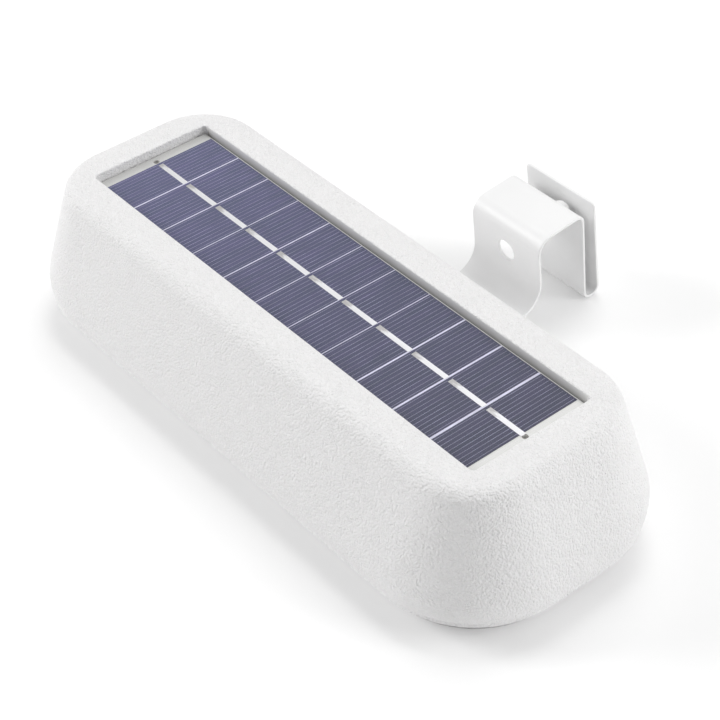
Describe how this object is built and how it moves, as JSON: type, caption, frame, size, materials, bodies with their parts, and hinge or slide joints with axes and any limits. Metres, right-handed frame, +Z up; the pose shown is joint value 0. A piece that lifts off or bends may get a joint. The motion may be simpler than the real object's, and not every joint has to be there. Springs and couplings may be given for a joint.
{
  "type": "solar-powered security camera",
  "caption": "White bar-shaped outdoor unit with a solar panel in its top, a bent sheet-steel hook bracket behind, and a pan-and-tilt camera, lamps and motion sensor underneath.",
  "frame": {"origin": "middle of the flat underside of the housing", "axes": "+Z up, +X along the housing, +Y towards the hook bracket"},
  "size_m": [0.2794, 0.1826, 0.063],
  "materials": {
    "white_grained_plastic": "fine leather grain",
    "white_cover_plastic": "satin",
    "seal_rubber": "matte",
    "screw_steel": "zinc plated",
    "insert_brass": "knurled",
    "foam_tape": "foam",
    "white_board": "solder mask",
    "solar_cell": "violet-grey silicon",
    "solder_ribbon": "tinned",
    "clear_film": "clear laminate",
    "lead_jacket": "smooth",
    "white_powder_coat": "powder coat",
    "green_board": "solder mask",
    "shield_steel": "tinned",
    "chip_resin": "moulded",
    "capacitor_can": "bright",
    "connector_nylon": "nylon",
    "battery_wrap": "shrink film",
    "black_plastic": "moulded",
    "speaker_frame": "satin",
    "lamp_board": "white solder mask",
    "lamp_phosphor": "phosphor",
    "white_reflector": "gloss",
    "frosted_lens": "frosted",
    "motion_dome": "milky polyethylene",
    "dark_trim_plastic": "fine texture",
    "infrared_resin": "dark clear resin",
    "head_plastic": "gloss",
    "trim_metal": "anodised",
    "lens_glass": "coated",
    "button_rubber": "silicone",
    "light_guide": "clear",
    "flap_rubber": "silicone"
  },
  "bodies": {
    "housing": {"upper_housing": "white_grained_plastic", "base_cover": "white_cover_plastic", "housing_seal": "seal_rubber", "cover_screws": "screw_steel", "housing_inserts": "insert_brass", "panel_tape": "foam_tape", "panel_board": "white_board", "solar_cells": "solar_cell", "cell_ribbons": "solder_ribbon", "panel_film": "clear_film", "panel_leads": "lead_jacket", "hook_bracket": "white_powder_coat", "bracket_grommet": "seal_rubber", "bracket_screws": "screw_steel", "bracket_nuts": "screw_steel", "main_board": "green_board", "board_screws": "screw_steel", "processor_shield": "shield_steel", "memory_chips": "chip_resin", "capacitors": "capacitor_can", "radio_module": "shield_steel", "lead_sockets": "connector_nylon", "antenna": "shield_steel", "battery_cells": "battery_wrap", "battery_holder": "black_plastic", "holder_screws": "screw_steel", "battery_leads": "lead_jacket", "speaker": "speaker_frame", "microphone": "shield_steel", "lamp_boards": "lamp_board", "lamp_diodes": "lamp_phosphor", "lamp_reflectors": "white_reflector", "lamp_lenses": "frosted_lens", "motion_lens": "motion_dome", "motion_sensor": "shield_steel", "motion_board": "green_board", "motion_spacer": "black_plastic", "ring_retainer": "black_plastic", "retainer_screws": "screw_steel", "button_board": "green_board", "tact_switches": "connector_nylon", "status_light_guide": "light_guide", "status_light": "lamp_phosphor", "usb_socket": "shield_steel", "card_socket": "shield_steel", "memory_card": "chip_resin"},
    "pan_turret": {"pan_ring": "dark_trim_plastic", "infrared_lamps": "infrared_resin"},
    "camera_head": {"head_front": "head_plastic", "head_back": "head_plastic", "head_pins": "screw_steel", "lens_barrel": "black_plastic", "lens_trim": "trim_metal", "lens_glass": "lens_glass", "inner_lens": "lens_glass", "sensor_board": "green_board", "image_sensor": "chip_resin"},
    "power_key": {"power_button": "button_rubber"},
    "reset_key": {"reset_button": "button_rubber"},
    "flap": {"port_flap": "flap_rubber"}
  },
  "joints": [
    {"name": "camera_pan", "type": "hinge", "parent": "housing", "child": "pan_turret", "pos_m": [0, -0.005, 0.007], "axis": [0, 0, 1], "range_deg": [-170, 170]},
    {"name": "camera_tilt", "type": "hinge", "parent": "pan_turret", "child": "camera_head", "pos_m": [0, -0.005, 0.017], "axis": [1, 0, 0], "range_deg": [-45, 10]},
    {"name": "power_press", "type": "slide", "parent": "housing", "child": "power_key", "axis": [0, 0, 1], "range_m": [0, 0.0008], "stiffness_N_per_m": 1500, "springref_m": -0.0004},
    {"name": "reset_press", "type": "slide", "parent": "housing", "child": "reset_key", "axis": [0, 0, 1], "range_m": [0, 0.0008], "stiffness_N_per_m": 1500, "springref_m": -0.0004},
    {"name": "flap_hinge", "type": "hinge", "parent": "housing", "child": "flap", "pos_m": [0.03475, 0.006, 0.00105], "axis": [0, 1, 0], "range_deg": [0, 100]}
  ]
}
